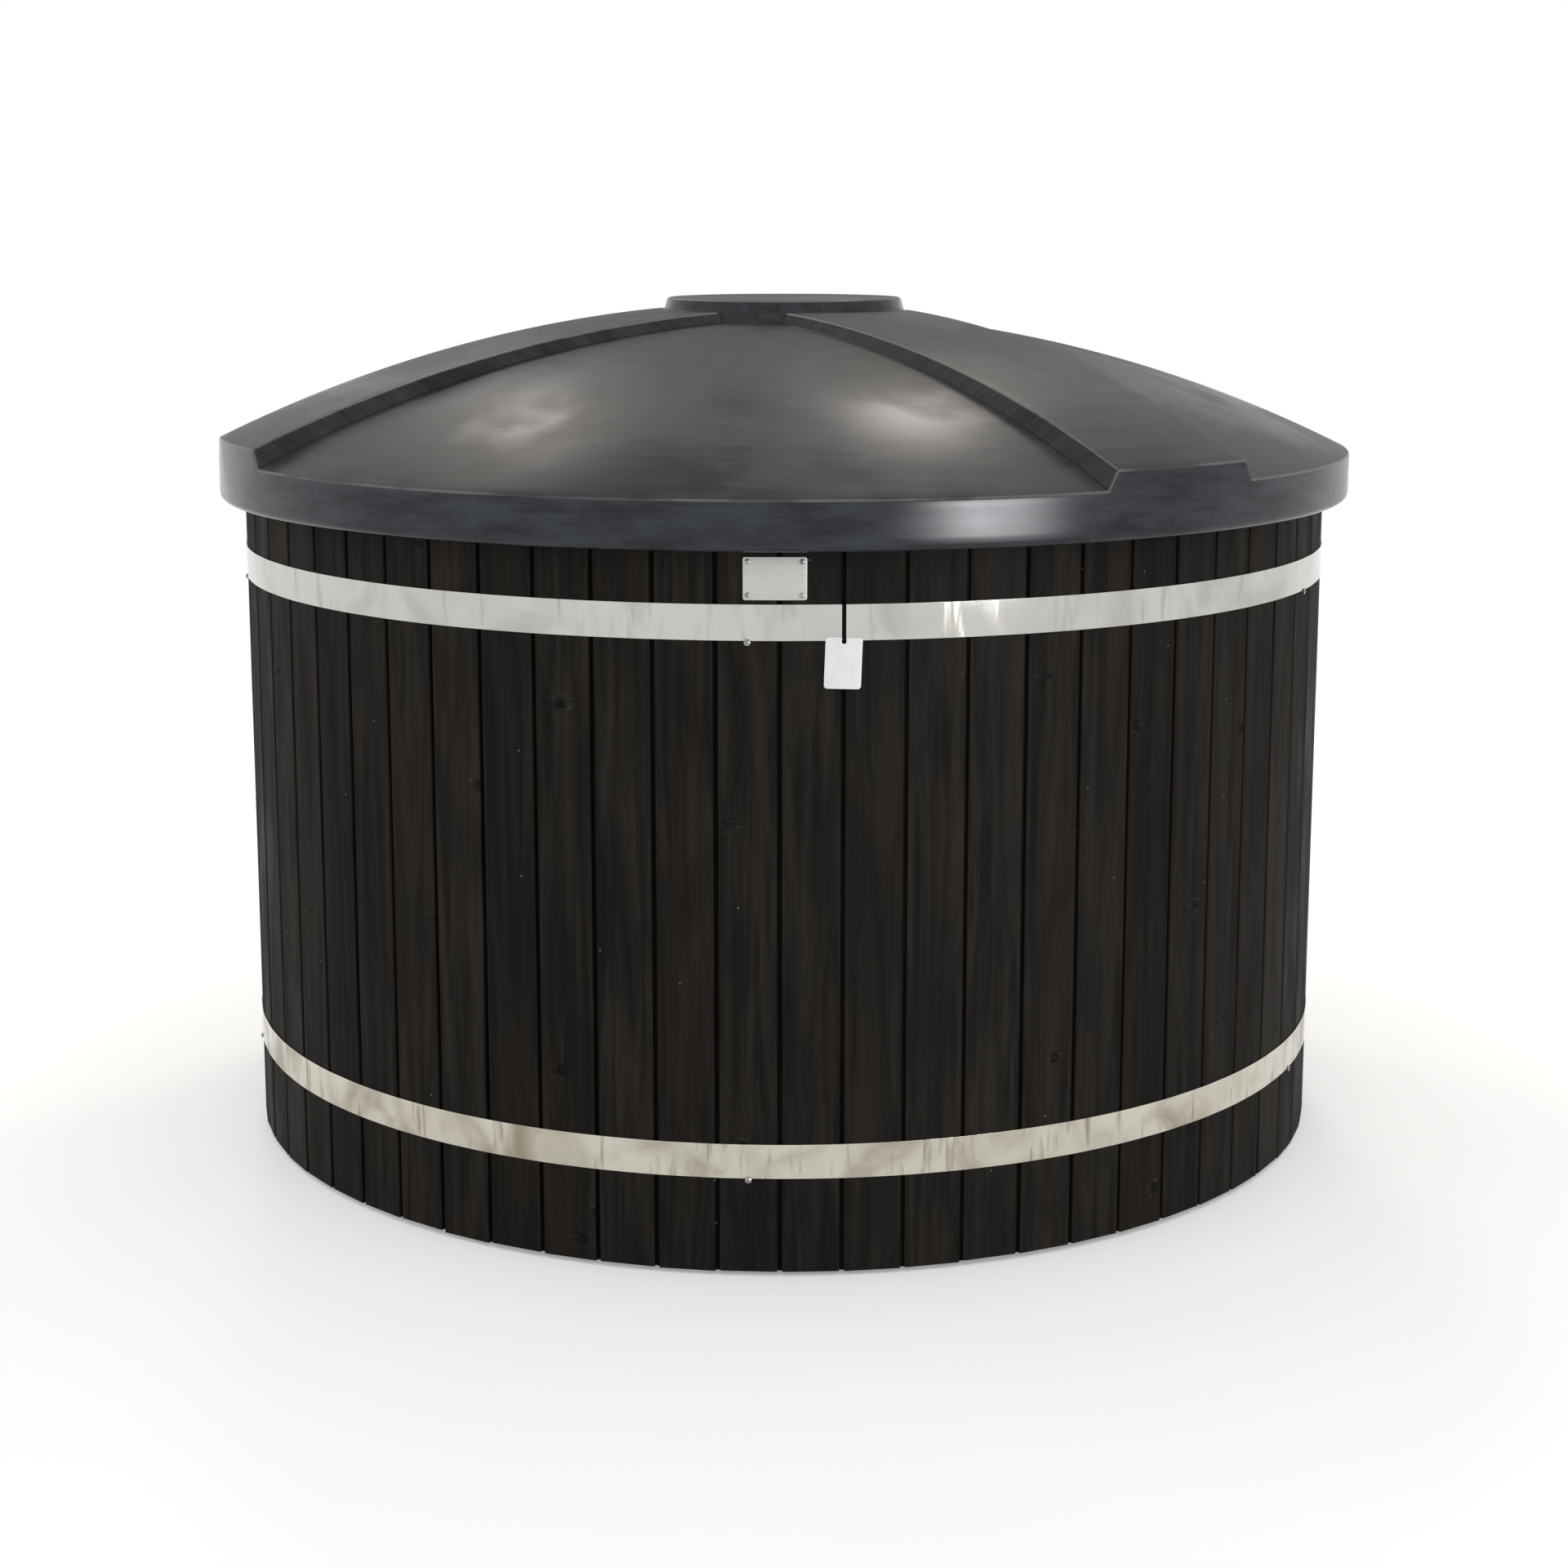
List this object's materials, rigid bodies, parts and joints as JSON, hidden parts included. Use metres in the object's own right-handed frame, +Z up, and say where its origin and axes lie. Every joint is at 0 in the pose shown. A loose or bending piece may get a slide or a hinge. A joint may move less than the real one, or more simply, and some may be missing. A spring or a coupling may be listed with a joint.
{
  "type": "hot tub",
  "caption": "Round free-standing hot tub: moulded basin with bench in a dark banded board cladding, domed ribbed lift-off lid, heater spigots and a drain valve at the back.",
  "frame": {"origin": "on the ground at the tub's vertical axis, in the middle of the centre joist's middle pad", "axes": "+Z up along the tub's axis, -Y towards the front with the nameplate, +Y towards the pipes"},
  "size_m": [1.844, 1.9908, 1.349],
  "materials": {
    "lid_skin": "satin",
    "lid_underside": "matte",
    "foam": "matte",
    "black_rubber": "matte",
    "basin": "satin",
    "plywood": "matte",
    "joist_timber": "matte",
    "stave_wood": "satin",
    "band_steel": "polished",
    "fastener_steel": "satin",
    "plate_metal": "satin",
    "tag_card": "satin",
    "loop_strap": "matte",
    "heater_steel": "satin",
    "nut_plastic": "satin",
    "drain_plastic": "satin",
    "valve_plastic": "satin",
    "seat_plastic": "satin",
    "lever_plastic": "satin"
  },
  "bodies": {
    "tub": {"insulation_jacket": "foam", "joist_pads": "black_rubber", "heater_flow_gasket": "black_rubber", "heater_return_gasket": "black_rubber", "heater_flow_grommet": "black_rubber", "heater_return_grommet": "black_rubber", "drain_gasket": "black_rubber", "drain_sleeve": "black_rubber", "tub_shell": "basin", "base_deck": "plywood", "bench_posts": "joist_timber", "joist_1": "joist_timber", "joist_2": "joist_timber", "joist_3": "joist_timber", "joist_4": "joist_timber", "joist_5": "joist_timber", "staves_1": "stave_wood", "staves_2": "stave_wood", "staves_3": "stave_wood", "staves_4": "stave_wood", "staves_5": "stave_wood", "staves_6": "stave_wood", "staves_7": "stave_wood", "staves_8": "stave_wood", "staves_9": "stave_wood", "upper_band": "band_steel", "lower_band": "band_steel", "upper_tension_bolt": "fastener_steel", "lower_tension_bolt": "fastener_steel", "upper_tension_nut": "fastener_steel", "lower_tension_nut": "fastener_steel", "band_support_screws": "fastener_steel", "nameplate_screws": "fastener_steel", "nameplate": "plate_metal", "tag_loop": "loop_strap", "heater_flow_pipe": "heater_steel", "heater_return_pipe": "heater_steel", "heater_flow_nut": "nut_plastic", "heater_return_nut": "nut_plastic", "drain_nut": "nut_plastic", "drain_strainer": "drain_plastic", "drain_elbow": "drain_plastic", "drain_pipe": "drain_plastic", "drain_valve_body": "valve_plastic", "drain_valve_inlet": "valve_plastic", "drain_valve_outlet": "valve_plastic", "drain_union_nuts": "valve_plastic", "drain_valve_seats": "seat_plastic"},
    "lid": {"lid_shell": "lid_skin", "lid_liner": "lid_underside", "lid_foam": "foam", "lid_seal": "black_rubber"},
    "drain_lever": {"drain_valve_ball": "valve_plastic", "drain_valve_stem": "valve_plastic", "drain_valve_lever": "lever_plastic", "drain_lever_screw": "fastener_steel"},
    "tag": {"swing_tag": "tag_card"}
  },
  "joints": [
    {"name": "lid_lift", "type": "slide", "parent": "tub", "child": "lid", "axis": [0, 0, 1], "range_m": [0, 0.5]},
    {"name": "drain_valve_turn", "type": "hinge", "parent": "tub", "child": "drain_lever", "pos_m": [0.08778, 0.95674, 0.136], "axis": [0, 0, 1], "range_deg": [0, 90]},
    {"name": "tag_swing", "type": "hinge", "parent": "tub", "child": "tag", "pos_m": [0.0881, -0.88044, 0.9111], "axis": [0.0996, -0.995, 0], "range_deg": [-35, 35]}
  ]
}
